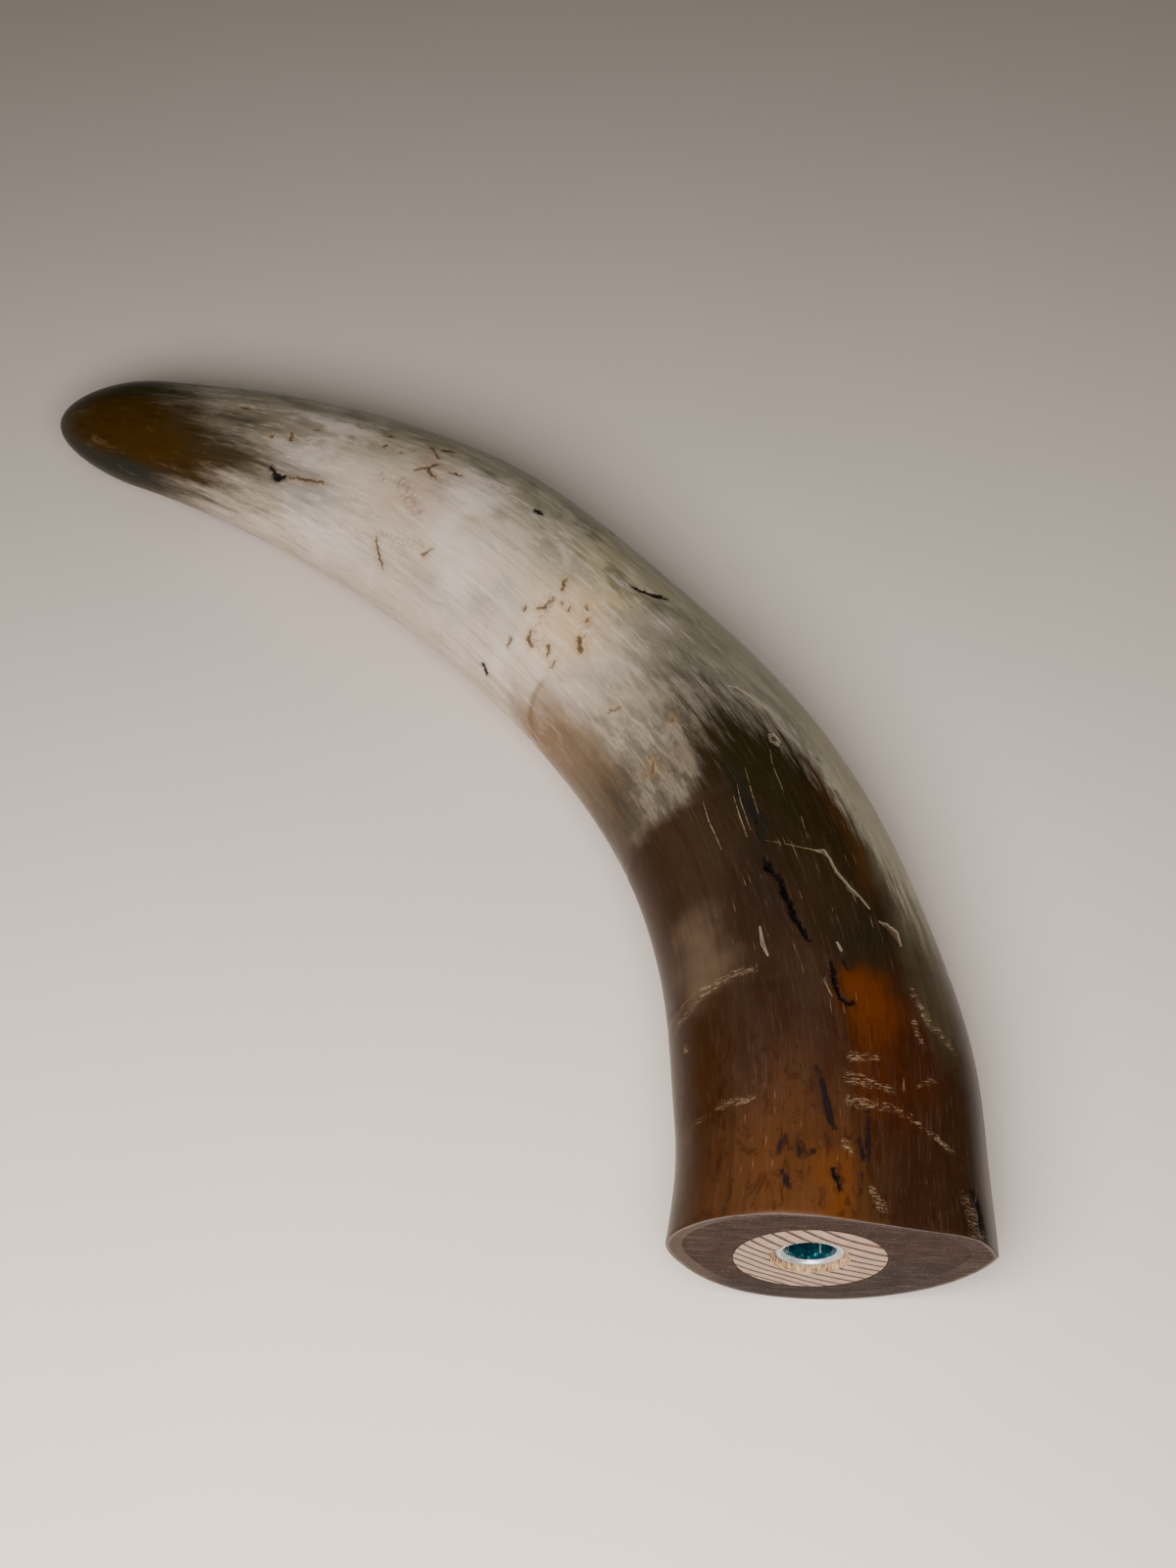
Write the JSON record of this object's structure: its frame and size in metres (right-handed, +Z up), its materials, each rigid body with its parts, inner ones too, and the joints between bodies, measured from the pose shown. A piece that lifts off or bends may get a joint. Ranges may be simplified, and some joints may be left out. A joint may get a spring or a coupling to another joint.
{
  "type": "buffalo horn",
  "caption": "Polished buffalo horn sawn off square, its hollow filled and plugged with wood, with a threaded insert in the plug.",
  "frame": {"origin": "on the surface that the horn lies on, under the middle of its bounding box", "axes": "+Z up as the horn lies on its side, -Y out of the sawn end, the tip towards +Y and curving to -X"},
  "size_m": [0.2038, 0.2084, 0.0424],
  "materials": {
    "horn_keratin": "polished horn keratin, cream to dark brown and amber, streaked along its length",
    "filler_brown": "brown cast filler, sanded flush",
    "plug_wood": "pale softwood end grain with dark year rings, sanded",
    "insert_zinc": "bright zinc plate"
  },
  "bodies": {
    "root": {"horn": "horn_keratin", "core_filler": "filler_brown", "dowel_plug": "plug_wood", "threaded_insert": "insert_zinc"}
  },
  "joints": []
}
